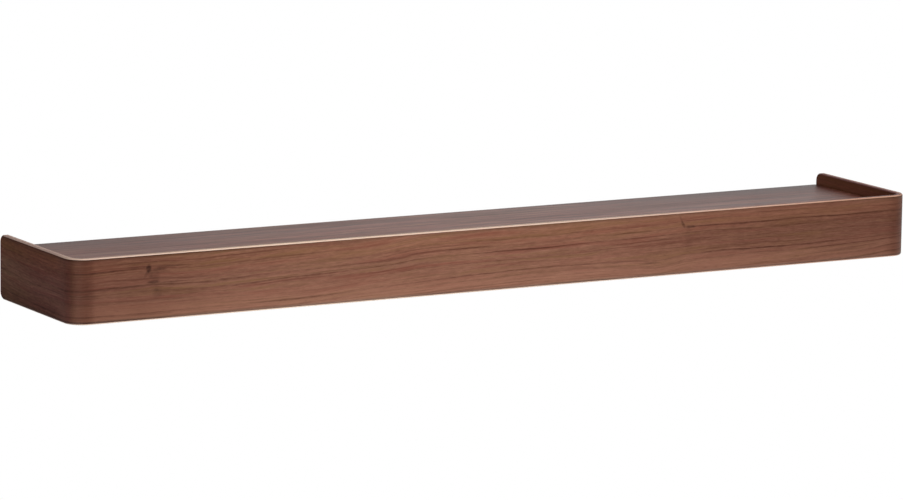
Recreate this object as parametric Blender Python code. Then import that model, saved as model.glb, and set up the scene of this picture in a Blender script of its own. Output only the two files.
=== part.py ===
"""Wall shelf: a walnut-faced moulded plywood band round a deck board, hung on a bevelled wall rail.

The origin is the middle of the wall rail's back face, on the wall. X runs along the shelf, Y runs
into the wall and Z is up, so the shelf's front faces -Y. All sizes are in metres.
"""

import math

import bmesh
import bpy
from mathutils import Euler, Matrix, Vector

# Overall sizes
SHELF_LENGTH = 1.200
SHELF_DEPTH = 0.210
RIM_HEIGHT = 0.080

# Moulded plywood band
PLY_THICKNESS = 0.0085
BEND_RADIUS = 0.024
END_RADIUS = 0.010
BEND_STEPS = 10
END_STEPS = 6

# Deck board
DECK_RECESS = 0.016
DECK_THICKNESS = 0.015
DECK_SKIN = 0.005

# Battens, glue blocks and ribs under the deck
BATTEN_SIZE = 0.018
CORNER_BLOCK_HEIGHT = 0.030
RIB_THICKNESS = 0.015
RIB_TOE = 0.012
RIB_SETBACK = 0.006
RIB_SHARES = (-0.5, 0.0, 0.5)

# The two halves of the bevelled hanging rail
RAIL_THICKNESS = 0.015
RAIL_BEVEL = math.radians(45)
HANGING_RAIL_LIP = 0.010
WALL_RAIL_BACK = 0.016
WALL_RAIL_END_PLAY = 0.008

# Clearances
GLUE_GAP = 0.0003
SLIDE_GAP = 0.0012
CUT_OVERRUN = 0.002

# Wood screws
SCREW_RADIUS = 0.00175
SCREW_HEAD_RADIUS = 0.0035
SCREW_HEAD_DEPTH = 0.0022
SCREW_POINT = 0.004
SCREW_SIDES = 10
BATTEN_SCREW_BITE = 0.008
RAIL_SCREW_BITE = 0.025
FRONT_SCREW_SHARES = (-0.85, -0.65, -0.35, -0.15, 0.15, 0.35, 0.65, 0.85)
SIDE_SCREW_SHARES = (0.25, 0.75)

# Dowels
DOWEL_RADIUS = 0.003
DOWEL_CHAMFER = 0.0006
DOWEL_SIDES = 10
RAIL_DOWEL_SHARES = (-0.88, -0.62, -0.38, -0.12, 0.12, 0.38, 0.62, 0.88)
RIB_DOWEL_SHARES = (0.2, 0.8)

# Holes in the wall rail for the installer's wall screws
WALL_HOLE_RADIUS = 0.00275
WALL_HOLE_HEAD_RADIUS = 0.0052
WALL_HOLE_SIDES = 16
WALL_HOLE_SHARES = (-0.75, -0.25, 0.25, 0.75)

# Heights, worked up from the wall rail to the band's top edge
RAIL_DROP = RAIL_THICKNESS * math.tan(RAIL_BEVEL)
BEVEL_GAP = GLUE_GAP / math.cos(RAIL_BEVEL)
WALL_RAIL_TOP = WALL_RAIL_BACK / 2
HANGING_RAIL_FOOT = WALL_RAIL_TOP + BEVEL_GAP
HANGING_RAIL_TOP = HANGING_RAIL_FOOT + RAIL_DROP + HANGING_RAIL_LIP
DECK_UNDER = HANGING_RAIL_TOP + GLUE_GAP
DECK_TOP = DECK_UNDER + DECK_THICKNESS
RIM_TOP = DECK_TOP + DECK_RECESS
RIM_FOOT = RIM_TOP - RIM_HEIGHT
FRAME_TOP = DECK_UNDER - GLUE_GAP
BATTEN_FOOT = FRAME_TOP - BATTEN_SIZE

# Plan places, worked in from the band's outer faces
HALF_LENGTH = SHELF_LENGTH / 2
INNER_OFFSET = PLY_THICKNESS + GLUE_GAP
INNER_HALF = HALF_LENGTH - INNER_OFFSET
INNER_FRONT = -SHELF_DEPTH + INNER_OFFSET
CORNER_SIDE = max(BATTEN_SIZE, BEND_RADIUS - INNER_OFFSET)
CORNER_REACH = INNER_OFFSET + CORNER_SIDE
FRONT_BATTEN_HALF = HALF_LENGTH - CORNER_REACH - GLUE_GAP
SIDE_BATTEN_X = INNER_HALF - BATTEN_SIZE / 2
SIDE_BATTEN_FRONT = -SHELF_DEPTH + CORNER_REACH + GLUE_GAP
FRAME_REAR = -RAIL_THICKNESS - GLUE_GAP
WALL_RAIL_HALF = INNER_HALF - WALL_RAIL_END_PLAY
RAIL_SCREW_HEIGHT = HANGING_RAIL_TOP - HANGING_RAIL_LIP / 2
RAIL_SCREW_LENGTH = RAIL_THICKNESS + GLUE_GAP + RAIL_SCREW_BITE
BATTEN_SCREW_LENGTH = BATTEN_SIZE + GLUE_GAP + BATTEN_SCREW_BITE
RAIL_SCREW_TIP = -RAIL_SCREW_LENGTH - GLUE_GAP
NOTCH_REAR = INNER_FRONT + BATTEN_SIZE + GLUE_GAP
RIB_PLACES = [share * HALF_LENGTH for share in RIB_SHARES]
DOWEL_RISE = DECK_THICKNESS - DECK_SKIN - GLUE_GAP
DOWEL_DROP = HANGING_RAIL_LIP + RAIL_DROP / 2 - DECK_SKIN

# Side view to world: an outline's first number runs along Y and its second along Z
SIDE_VIEW = Matrix(((0, 0, 1), (1, 0, 0), (0, 1, 0))).to_4x4()

# How a fastener turns from its own axis, on which its head is up
DRIVEN_UP = (math.pi, 0, 0)
DRIVEN_FORWARD = (-math.pi / 2, 0, 0)
DRIVEN_BACK = (math.pi / 2, 0, 0)

WALNUT = ("walnut_veneer", (0.215, 0.098, 0.058), 0.45, 0.0)
BEECH = ("beech", (0.560, 0.380, 0.235), 0.60, 0.0)
BIRCH_PLY = ("birch_plywood", (0.640, 0.480, 0.310), 0.60, 0.0)
ZINC_STEEL = ("zinc_steel", (0.620, 0.620, 0.600), 0.35, 1.0)


def clear_scene():
    """Remove every object, so the script starts from an empty scene."""
    for thing in list(bpy.data.objects):
        bpy.data.objects.remove(thing)


def finish(name):
    """Return the named finish as a Principled material, made once."""
    label, colour, roughness, metallic = name
    made = bpy.data.materials.get(label)
    if made:
        return made
    made = bpy.data.materials.new(label)
    made.use_nodes = True
    shader = made.node_tree.nodes["Principled BSDF"]
    shader.inputs["Base Color"].default_value = (*colour, 1.0)
    shader.inputs["Roughness"].default_value = roughness
    shader.inputs["Metallic"].default_value = metallic
    return made


def empty(name):
    """Add an empty at the origin, for the pieces of one side to hang on."""
    holder = bpy.data.objects.new(name, None)
    bpy.context.collection.objects.link(holder)
    return holder


def place(name, mesh, holder, at=(0, 0, 0), turn=(0, 0, 0)):
    """Put a mesh in the scene as one named piece under its holder."""
    piece = bpy.data.objects.new(name, mesh)
    bpy.context.collection.objects.link(piece)
    piece.parent = holder
    piece.location = at
    piece.rotation_euler = turn
    return piece


def to_mesh(name, shape, look):
    """Turn a bmesh into a mesh with one finish and outward faces."""
    bmesh.ops.recalc_face_normals(shape, faces=shape.faces)
    mesh = bpy.data.meshes.new(name)
    shape.to_mesh(mesh)
    shape.free()
    mesh.materials.append(finish(look))
    return mesh


def prism(outline, start, length, view=Matrix.Identity(4)):
    """Return a bmesh of a closed outline extruded from start over a length."""
    shape = bmesh.new()
    corners = [shape.verts.new(view @ Vector((a, b, start))) for a, b in outline]
    face = shape.faces.new(corners)
    grown = bmesh.ops.extrude_face_region(shape, geom=[face])
    moved = [item for item in grown["geom"] if isinstance(item, bmesh.types.BMVert)]
    travel = view.to_3x3() @ Vector((0, 0, length))
    bmesh.ops.translate(shape, verts=moved, vec=travel)
    return shape


def block(width, depth, height):
    """Return a bmesh of a box that is centred in X and Y and stands on its base."""
    half_w = width / 2
    half_d = depth / 2
    outline = [(-half_w, -half_d), (half_w, -half_d), (half_w, half_d), (-half_w, half_d)]
    return prism(outline, 0, height)


def arc(centre, radius, start, end, steps):
    """Return the points of an arc, with its angles in degrees."""
    points = []
    for step in range(steps + 1):
        angle = math.radians(start + (end - start) * step / steps)
        points.append((centre[0] + radius * math.cos(angle), centre[1] + radius * math.sin(angle)))
    return points


def band_line(offset):
    """Return the band's plan line, offset inwards, from its left rear end to its right one."""
    radius = BEND_RADIUS - offset
    side = HALF_LENGTH - offset
    bend_x = HALF_LENGTH - BEND_RADIUS
    bend_y = -SHELF_DEPTH + BEND_RADIUS
    left = arc((-bend_x, bend_y), radius, 180, 270, BEND_STEPS)
    right = arc((bend_x, bend_y), radius, 270, 360, BEND_STEPS)
    return [(-side, 0)] + left + right + [(side, 0)]


def add_turned(shape, profile, sides, stance):
    """Add a turned solid to a bmesh, from (radius, height) points listed from tip to head."""
    rings = []
    for radius, height in profile:
        ring = []
        for step in range(sides):
            angle = 2 * math.pi * step / sides
            point = Vector((radius * math.cos(angle), radius * math.sin(angle), height))
            ring.append(shape.verts.new(stance @ point))
        rings.append(ring)
    for lower, upper in zip(rings, rings[1:]):
        for step in range(sides):
            after = (step + 1) % sides
            shape.faces.new((lower[step], lower[after], upper[after], upper[step]))
    shape.faces.new(list(reversed(rings[0])))
    shape.faces.new(rings[-1])


def screw_profile(length, grow=0.0):
    """Return a countersunk screw's outline, its head's face at 0 and its point at -length."""
    point_radius = SCREW_RADIUS / 4 + grow
    profile = [
        (point_radius, -length - grow),
        (SCREW_RADIUS + grow, -length + SCREW_POINT - grow),
        (SCREW_RADIUS + grow, -SCREW_HEAD_DEPTH),
        (SCREW_HEAD_RADIUS + grow, 0),
    ]
    if grow:
        profile.append((SCREW_HEAD_RADIUS + grow, CUT_OVERRUN))
    return profile


def dowel_profile(grow=0.0):
    """Return a chamfered dowel's outline, with its glue line at height 0."""
    radius = DOWEL_RADIUS + grow
    foot = -DOWEL_DROP - grow
    head = DOWEL_RISE + grow
    edge = radius - DOWEL_CHAMFER
    return [(edge, foot), (radius, foot + DOWEL_CHAMFER), (radius, head - DOWEL_CHAMFER), (edge, head)]


def wall_hole_profile():
    """Return the outline of a countersunk hole through the wall rail, its mouth at 0."""
    flare = WALL_HOLE_HEAD_RADIUS - WALL_HOLE_RADIUS
    return [
        (WALL_HOLE_RADIUS, -RAIL_THICKNESS - CUT_OVERRUN),
        (WALL_HOLE_RADIUS, -flare),
        (WALL_HOLE_HEAD_RADIUS, 0),
        (WALL_HOLE_HEAD_RADIUS, CUT_OVERRUN),
    ]


def batten_screw_places():
    """Return where each batten screw's head sits, flush with a batten's underside."""
    front_y = INNER_FRONT + BATTEN_SIZE / 2
    places = [(share * FRONT_BATTEN_HALF, front_y, BATTEN_FOOT) for share in FRONT_SCREW_SHARES]
    run = RAIL_SCREW_TIP - SIDE_BATTEN_FRONT
    for side in (-1, 1):
        for share in SIDE_SCREW_SHARES:
            places.append((side * SIDE_BATTEN_X, SIDE_BATTEN_FRONT + share * run, BATTEN_FOOT))
    return places


def rail_screw_places():
    """Return where each rail screw's head sits, flush with the hanging rail's back."""
    return [(x, 0, RAIL_SCREW_HEIGHT) for x in (-SIDE_BATTEN_X, *RIB_PLACES, SIDE_BATTEN_X)]


def rail_dowel_places():
    """Return where each dowel crosses from the deck into the hanging rail."""
    return [(share * INNER_HALF, -RAIL_THICKNESS / 2, DECK_UNDER) for share in RAIL_DOWEL_SHARES]


def rib_dowel_places():
    """Return where each dowel crosses from the deck into a rib."""
    run = RAIL_SCREW_TIP - NOTCH_REAR
    return [(x, NOTCH_REAR + share * run, DECK_UNDER) for x in RIB_PLACES for share in RIB_DOWEL_SHARES]


def wall_hole_places():
    """Return where each wall screw hole opens on the wall rail's front."""
    return [(share * WALL_RAIL_HALF, -RAIL_THICKNESS, 0) for share in WALL_HOLE_SHARES]


def turned(profile, sides):
    """Return a bmesh of one turned solid on its own axis."""
    shape = bmesh.new()
    add_turned(shape, profile, sides, Matrix.Identity(4))
    return shape


def cutter(name, places, profile, sides, turn=(0, 0, 0)):
    """Make a hidden body that cuts one turned hole at each place."""
    shape = bmesh.new()
    for at in places:
        add_turned(shape, profile, sides, Matrix.Translation(at) @ Euler(turn).to_matrix().to_4x4())
    body = place(name, to_mesh(name, shape, BEECH), None)
    body.hide_render = True
    body.display_type = "WIRE"
    return body


def cut(piece, *bodies):
    """Cut a piece with each of the cutting bodies."""
    for body in bodies:
        step = piece.modifiers.new(body.name, "BOOLEAN")
        step.operation = "DIFFERENCE"
        step.solver = "EXACT"
        step.object = body


def round_off(piece):
    """Shade a piece smooth, with its real corners kept sharp."""
    piece.data.shade_smooth()
    piece.data.set_sharp_from_angle(angle=math.radians(40))
    return piece


def rim_band(holder):
    """The moulded band: front and both returns in one, with rounded rear corners."""
    outline = band_line(0) + list(reversed(band_line(PLY_THICKNESS)))
    shape = prism(outline, 0, RIM_HEIGHT)
    rear = []
    for edge in shape.edges:
        first, second = edge.verts
        if first.co.y == 0 and second.co.y == 0 and first.co.z == second.co.z:
            rear.append(edge)
    bmesh.ops.bevel(shape, geom=rear, offset=END_RADIUS, segments=END_STEPS, profile=0.5, affect="EDGES")
    return round_off(place("rim_band", to_mesh("rim_band", shape, WALNUT), holder, (0, 0, RIM_FOOT)))


def deck_panel(holder, *bodies):
    """The veneered board inside the band, flush with the band's rear ends."""
    shape = prism(band_line(INNER_OFFSET), 0, DECK_THICKNESS)
    piece = place("deck_panel", to_mesh("deck_panel", shape, WALNUT), holder, (0, 0, DECK_UNDER))
    cut(piece, *bodies)
    return piece


def hanging_rail(holder, *bodies):
    """The shelf's half of the split rail, its bevelled foot hooked behind the wall rail."""
    outline = [
        (0, HANGING_RAIL_FOOT),
        (0, HANGING_RAIL_TOP),
        (-RAIL_THICKNESS, HANGING_RAIL_TOP),
        (-RAIL_THICKNESS, HANGING_RAIL_FOOT + RAIL_DROP),
    ]
    shape = prism(outline, -INNER_HALF, 2 * INNER_HALF, SIDE_VIEW)
    piece = place("hanging_rail", to_mesh("hanging_rail", shape, BEECH), holder)
    cut(piece, *bodies)
    return piece


def wall_rail(holder, *bodies):
    """The wall's half of the split rail, its bevel rising away from the wall."""
    outline = [
        (0, -WALL_RAIL_BACK / 2),
        (0, WALL_RAIL_TOP),
        (-RAIL_THICKNESS, WALL_RAIL_TOP + RAIL_DROP),
        (-RAIL_THICKNESS, -WALL_RAIL_BACK / 2),
    ]
    shape = prism(outline, -WALL_RAIL_HALF, 2 * WALL_RAIL_HALF, SIDE_VIEW)
    piece = place("wall_rail", to_mesh("wall_rail", shape, BEECH), holder)
    cut(piece, *bodies)
    return piece


def front_batten(holder, *bodies):
    """The square batten behind the band's front, between the corner blocks."""
    shape = block(2 * FRONT_BATTEN_HALF, BATTEN_SIZE, BATTEN_SIZE)
    at = (0, INNER_FRONT + BATTEN_SIZE / 2, BATTEN_FOOT)
    piece = place("front_batten", to_mesh("front_batten", shape, BEECH), holder, at)
    cut(piece, *bodies)
    return piece


def side_battens(holder, *bodies):
    """The square battens along the two returns, from the corner blocks to the hanging rail."""
    length = FRAME_REAR - SIDE_BATTEN_FRONT
    mesh = to_mesh("side_batten", block(BATTEN_SIZE, length, BATTEN_SIZE), BEECH)
    middle = SIDE_BATTEN_FRONT + length / 2
    for side, word in ((-1, "left"), (1, "right")):
        piece = place("side_batten_" + word, mesh, holder, (side * SIDE_BATTEN_X, middle, BATTEN_FOOT))
        cut(piece, *bodies)


def corner_blocks(holder):
    """The glue blocks in the two bends, each with one corner rounded to the band's inside."""
    radius = BEND_RADIUS - INNER_OFFSET
    foot = FRAME_TOP - CORNER_BLOCK_HEIGHT
    for side, word in ((-1, "left"), (1, "right")):
        outline = arc((radius, radius), radius, 180, 270, BEND_STEPS)
        outline += [(CORNER_SIDE, 0), (CORNER_SIDE, CORNER_SIDE), (0, CORNER_SIDE)]
        outline = list(dict.fromkeys(outline))
        shape = prism([(-side * x, y) for x, y in outline], 0, CORNER_BLOCK_HEIGHT)
        mesh = to_mesh("corner_block_" + word, shape, BEECH)
        round_off(place("corner_block_" + word, mesh, holder, (side * INNER_HALF, INNER_FRONT, foot)))


def ribs(holder, *bodies):
    """The plywood ribs, notched over the front batten and stepped clear of the wall rail."""
    notch_foot = BATTEN_FOOT - GLUE_GAP
    step = HANGING_RAIL_FOOT + RAIL_DROP
    outline = [
        (FRAME_REAR, FRAME_TOP),
        (NOTCH_REAR, FRAME_TOP),
        (NOTCH_REAR, notch_foot),
        (INNER_FRONT, notch_foot),
        (INNER_FRONT, notch_foot - RIB_TOE),
        (FRAME_REAR - SLIDE_GAP, RIM_FOOT + RIB_SETBACK),
        (FRAME_REAR - SLIDE_GAP, step),
        (FRAME_REAR, step),
    ]
    mesh = to_mesh("rib", prism(outline, -RIB_THICKNESS / 2, RIB_THICKNESS, SIDE_VIEW), BIRCH_PLY)
    for x, word in zip(RIB_PLACES, ("left", "centre", "right")):
        piece = place("rib_" + word, mesh, holder, (x, 0, 0))
        cut(piece, *bodies)


def repeat(holder, name, mesh, places, turn=(0, 0, 0)):
    """Place one numbered piece of the same mesh at each place."""
    for number, at in enumerate(places, 1):
        round_off(place(f"{name}_{number}", mesh, holder, at, turn))


def fasteners(holder):
    """The dowels and screws that hold the deck, the rail and the frame together."""
    dowel = to_mesh("dowel", turned(dowel_profile(), DOWEL_SIDES), BEECH)
    repeat(holder, "rail_dowel", dowel, rail_dowel_places())
    repeat(holder, "rib_dowel", dowel, rib_dowel_places())
    short = to_mesh("short_screw", turned(screw_profile(BATTEN_SCREW_LENGTH), SCREW_SIDES), ZINC_STEEL)
    repeat(holder, "batten_screw", short, batten_screw_places(), DRIVEN_UP)
    long = to_mesh("long_screw", turned(screw_profile(RAIL_SCREW_LENGTH), SCREW_SIDES), ZINC_STEEL)
    repeat(holder, "rail_screw", long, rail_screw_places(), DRIVEN_FORWARD)


def main():
    """Build the shelf, the wall's half on one empty and what lifts off on another."""
    clear_scene()
    wall_side = empty("wall_side")
    lift_off = empty("lift_off")

    dowel_places = rail_dowel_places() + rib_dowel_places()
    short_profile = screw_profile(BATTEN_SCREW_LENGTH, GLUE_GAP)
    long_profile = screw_profile(RAIL_SCREW_LENGTH, GLUE_GAP)
    for_dowels = cutter("dowel_holes", dowel_places, dowel_profile(GLUE_GAP), DOWEL_SIDES)
    for_short = cutter("short_holes", batten_screw_places(), short_profile, SCREW_SIDES, DRIVEN_UP)
    for_long = cutter("long_holes", rail_screw_places(), long_profile, SCREW_SIDES, DRIVEN_FORWARD)
    for_wall = cutter("wall_holes", wall_hole_places(), wall_hole_profile(), WALL_HOLE_SIDES, DRIVEN_BACK)

    wall_rail(wall_side, for_wall)
    rim_band(lift_off)
    deck_panel(lift_off, for_dowels, for_short)
    hanging_rail(lift_off, for_dowels, for_long)
    front_batten(lift_off, for_short)
    side_battens(lift_off, for_short, for_long)
    corner_blocks(lift_off)
    ribs(lift_off, for_dowels, for_long)
    fasteners(lift_off)


main()
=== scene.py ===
"""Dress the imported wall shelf: moulded walnut band, veneered deck, and the timber frame under it.

All lengths are in metres in the model's own frame. X runs along the shelf, Y runs into the wall, Z is
up, and the origin is on the wall, so the shelf's front faces -Y.
"""

import math

import bmesh
import bpy
from bpy.props import FloatProperty, FloatVectorProperty, IntProperty, PointerProperty
from mathutils import Matrix, Vector


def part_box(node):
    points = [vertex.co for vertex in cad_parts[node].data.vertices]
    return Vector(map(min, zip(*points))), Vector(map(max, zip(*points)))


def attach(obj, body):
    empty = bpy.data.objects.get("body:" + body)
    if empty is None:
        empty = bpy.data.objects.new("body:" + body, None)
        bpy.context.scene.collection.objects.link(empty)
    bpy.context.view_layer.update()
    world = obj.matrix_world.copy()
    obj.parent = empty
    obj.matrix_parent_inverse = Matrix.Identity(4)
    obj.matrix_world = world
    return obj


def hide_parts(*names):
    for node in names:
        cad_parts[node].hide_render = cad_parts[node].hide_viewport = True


bl_info = {
    "name": "Wall shelf dresser",
    "version": (1, 0, 0),
    "blender": (4, 5, 0),
    "location": "3D View > Sidebar > Shelf",
    "description": "Builds a moulded plywood wall shelf round its packed solids",
    "category": "Object",
}

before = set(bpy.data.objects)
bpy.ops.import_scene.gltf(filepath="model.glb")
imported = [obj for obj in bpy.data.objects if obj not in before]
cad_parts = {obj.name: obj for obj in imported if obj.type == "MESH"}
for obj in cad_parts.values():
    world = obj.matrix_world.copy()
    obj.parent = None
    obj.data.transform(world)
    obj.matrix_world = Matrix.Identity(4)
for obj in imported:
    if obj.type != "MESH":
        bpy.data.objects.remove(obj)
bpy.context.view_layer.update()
BAND_LOW, BAND_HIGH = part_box("rim_band")
DECK_LOW, DECK_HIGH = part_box("deck_panel")
RIB_LOW, RIB_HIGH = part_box("rib_centre")

MM = 0.001
QUARTER = math.pi / 2
WHITE = (1.0, 1.0, 1.0)
WALL_BODY = "wall_side"
SHELF_BODY = "shelf"
GRAIN = "grain"
CUT_EDGE = "cut_edge"
RUB = "rub"

# The grain map runs this far each way along the band, from the middle of its front
GRAIN_REACH = 0.8
# Across, the band's inside and the deck's two faces are set off, so that they show other stretches
INSIDE_OFFSET = 0.345
DECK_OFFSET = 1.02
DECK_UNDER_OFFSET = 1.57
# Values across the map that part the band's outside, its inside and the deck from each other
OUTSIDE_END = 0.1
INSIDE_START = 0.2
DECK_START = 0.9

# Drift of the grain up the front as it runs along, both in millimetres, for its lower and upper parts
DRIFT_LOWER = (
    (-800, 6), (-620, 0), (-374, 1), (-305, 1.5), (-241, 5), (-200, 7.5), (-136, 9), (-85, 11), (-33, 13.4),
    (18, 15), (108, 15), (185, 12), (207, 10.5), (262, 15), (350, 16.4), (418, 16.6), (495, 18.5),
    (546, 22), (582, 25), (800, 27),
)
DRIFT_UPPER = (
    (-800, 5), (-620, -1), (-500, 1), (-440, -1), (-395, 0), (-318, 3.5), (-241, 5),
    (-200, 6.5), (-149, 11), (-123, 13), (-50, 14.5), (60, 14.7), (150, 16.5), (200, 17.5),
    (256, 19), (400, 19), (800, 20),
)
DRIFT_FLOOR = -10
DRIFT_SPAN = 40
# Heights where the lower drift gives way to the upper one
DRIFT_CHANGE = (0.014, 0.040)

# Growth lines: height above the band's foot before drift, soft reach below, sharp reach above, depth
GROWTH_LINES = (
    (-15.4, 3.0, 0.8, 0.30), (-8.2, 2.5, 0.8, 0.35), (3.3, 2.5, 0.8, 0.40), (9.2, 2.2, 0.8, 0.60),
    (24.6, 3.0, 0.8, 0.28), (34.9, 2.2, 0.8, 0.55), (42.1, 2.5, 0.9, 0.60), (50.3, 3.0, 0.8, 0.28),
    (62.6, 2.5, 0.9, 0.50), (70.8, 3.0, 0.8, 0.30),
)
LINE_FLOOR = -30
LINE_SPAN = 120
LINE_CREST = 0.2

# Streaks that follow the drift: along, height before drift, half length, half height, depth
STREAKS = (
    (-415, 42.5, 110, 1.5, 0.42), (-530, 42.1, 45, 1.4, 0.30), (-455, 31.8, 50, 5.0, 0.20),
    (-150, 35.1, 80, 1.0, 0.35), (30, 34.9, 90, 1.0, 0.20), (-52, 41.5, 45, 2.0, 0.30),
    (-560, 62.1, 60, 1.6, 0.35), (350, 41.8, 110, 1.4, 0.32), (450, 25.0, 300, 26.0, 0.30),
    (190, 34.7, 75, 1.1, 0.35), (200, 28.6, 75, 1.1, 0.35), (-290, 9.2, 90, 0.9, 0.40),
    (0, 9.2, 130, 0.9, 0.12), (-505, 7.2, 75, 1.1, 0.16), (350, 9.2, 90, 1.2, 0.40),
)

# Pin knots and their feathers: along, height, half length, half height, depth and, where they lean, lean
KNOTS = (
    (-499, 63.0, 4.6, 6.3, 0.70), (-514, 64.8, 20.0, 1.5, 0.36), (-472, 64.0, 32.0, 1.4, 0.38),
    (-485, 61.0, 13.0, 2.3, 0.42), (-502, 56.0, 3.2, 6.0, 0.34, 0.5), (-497, 56.0, 4.0, 6.5, 0.32),
    (-490, 53.5, 8.0, 9.0, 0.24), (-493, 45.9, 11.0, 2.7, 0.62), (-466, 44.8, 26.0, 1.4, 0.38),
    (-489, 36.5, 4.0, 2.6, 0.22), (-488, 32.0, 8.0, 9.0, 0.20),
    (253.2, 64.2, 2.9, 5.8, 0.54, -0.46), (250.4, 70.5, 2.0, 6.0, 0.24, -0.46),
    (264, 60.8, 11.0, 2.7, 0.48), (285, 61.0, 24.0, 1.3, 0.42), (312, 60.7, 24.0, 1.3, 0.20),
    (262, 44.0, 8.0, 22.0, 0.13), (204, 17.9, 20.0, 1.6, 0.40),
)

# Painted shade along the band, from the left return's rear to the right one's: on top of the leaf's own tone,
# it is drawn darker at both bends, where the turning faces get less light, and towards the right end, where
# the lamps' light falls off
TONE_AND_PAINTED_SHADE = (
    (-800, 1.10), (-700, 1.06), (-640, 1.10), (-614, 1.02), (-606, 0.78), (-598, 0.61), (-590, 0.59),
    (-582, 0.475), (-577, 0.49), (-571, 0.66), (-563, 0.69), (-550, 0.72), (-500, 0.73), (-460, 0.81),
    (-400, 0.89), (-300, 0.955), (0, 0.975), (130, 0.985), (200, 0.94), (300, 0.945), (550, 0.93),
    (570, 0.80), (577, 0.72), (590, 0.78), (800, 1.00),
)
TONE_SPAN = 1.2

# Smooth steps of a rounded corner, of a bend and of a block's corner, in a quarter turn
CORNER_STEPS = 10
BEND_STEPS = 24
BLOCK_STEPS = 8
# Extra columns of the blank: this far beside each bend, and at these places along its front
BEND_LEAD = 0.003
FRONT_STATIONS = (-0.3, 0.0, 0.3)
# Rows of a leaf beside its eased edge: where rubbing ends, where it still shows, and how much
RUB_END = 0.003
RUB_FADE = 0.0008
RUB_FADE_LEVEL = 0.55

# Angles between faces, in degrees, past which timber and screws show a crease and a corner is eased
TIMBER_CREASE = 25
SCREW_CREASE = 35
REAL_CORNER = 30
# A hole's cutter: its sides, its depth, and how far it stands out of the face
HOLE_SIDES = 24
HOLE_DEPTH = 0.03
CUTTER_RISE = 0.002
# Outline points that are nearer to each other than this are one point
SAME_PLACE = 0.00001
# Places of the wall screws' holes, as shares of half the wall rail's length
WALL_HOLE_SHARES = (-0.75, -0.25, 0.25, 0.75)

# Directions that screws are driven in, as turns about X, Y and Z of a screw that points down
DRIVEN_UP = (math.pi, 0.0, 0.0)
DRIVEN_FORWARD = (-QUARTER, 0.0, 0.0)
DRIVEN_BACK = (QUARTER, 0.0, 0.0)

# From an outline's plane to the world: a side view's outline is in Y and Z, a plan's in X and Y
SIDE_VIEW = Matrix(((0, 0, 1), (1, 0, 0), (0, 1, 0))).to_4x4()
PLAN_VIEW = Matrix.Identity(4)

# Lamps: name, power setting, size, place and the point that they face
LAMPS = (
    ("key_light", "key_power", (1.2, 0.6), (-0.12, -1.55, 0.05), (-0.12, -0.2, 0.03)),
    ("top_light", "top_power", (2.0, 1.0), (-0.2, -0.2, 2.0), (0.0, -0.2, 0.02)),
    ("back_light", "back_power", (1.8, 0.5), (0.3, 2.4, 0.1), (0.0, 0.0, 0.02)),
)
FRAME_WIDTH_MM = 36.0
CAMERA_NEAR = 0.1
CAMERA_FAR = 100.0


def length(name, default, description):
    """Return a length setting in metres."""
    return FloatProperty(
        name=name, default=default, description=description,
        min=0.0, precision=5, subtype="DISTANCE", unit="LENGTH",
    )


def angle(name, degrees, description):
    """Return an angle setting."""
    return FloatProperty(name=name, default=math.radians(degrees), description=description, subtype="ANGLE")


def power(name, default, description):
    """Return a lamp's power setting."""
    return FloatProperty(name=name, default=default, description=description, unit="POWER")


def colour(name, default, description):
    """Return a colour setting."""
    return FloatVectorProperty(
        name=name, default=default, description=description, min=0.0, max=1.0, size=3, subtype="COLOR"
    )


class ShelfSizes(bpy.types.PropertyGroup):
    """Sizes of the band, the board and the parts under it."""

    ply: length("Band thickness", 0.0085, "Thickness of the moulded plywood")
    bend: length("Bend radius", 0.024, "Outside radius of the two front bends")
    end: length("End radius", 0.010, "Radius of the rear corners of the returns")
    veneer: length("Veneer thickness", 0.00035, "Thickness of each walnut face leaf")
    arris_height: length("Arris height", 0.0020, "How far down the face an edge of the band is eased")
    arris_depth: length("Arris depth", 0.0015, "How far across the edge the band is eased")
    glue_gap: length("Glue gap", 0.0003, "Gap between glued faces")
    slide_gap: length("Slide gap", 0.0012, "Gap between a rib and the wall rail")
    easing: length("Timber easing", 0.0005, "Easing of the battens, blocks, rails and ribs")
    rib_toe: length("Rib toe", 0.012, "Height of a rib's foot behind the front batten")
    wall_hole: length("Wall hole radius", 0.00275, "Radius of the wall rail's screw holes")
    wall_hole_mouth: length("Wall hole mouth", 0.0052, "Radius of the countersink of those holes")
    screw_head: length("Screw head radius", 0.0035, "Radius of a screw's head")
    screw_shank: length("Screw radius", 0.00175, "Radius over a screw's thread")
    screw_pitch: length("Thread pitch", 0.0014, "Distance between two turns of a screw's thread")
    turn_seed: IntProperty(name="Screw turn seed", default=7, description="Seed for each screw's own turn")


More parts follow.
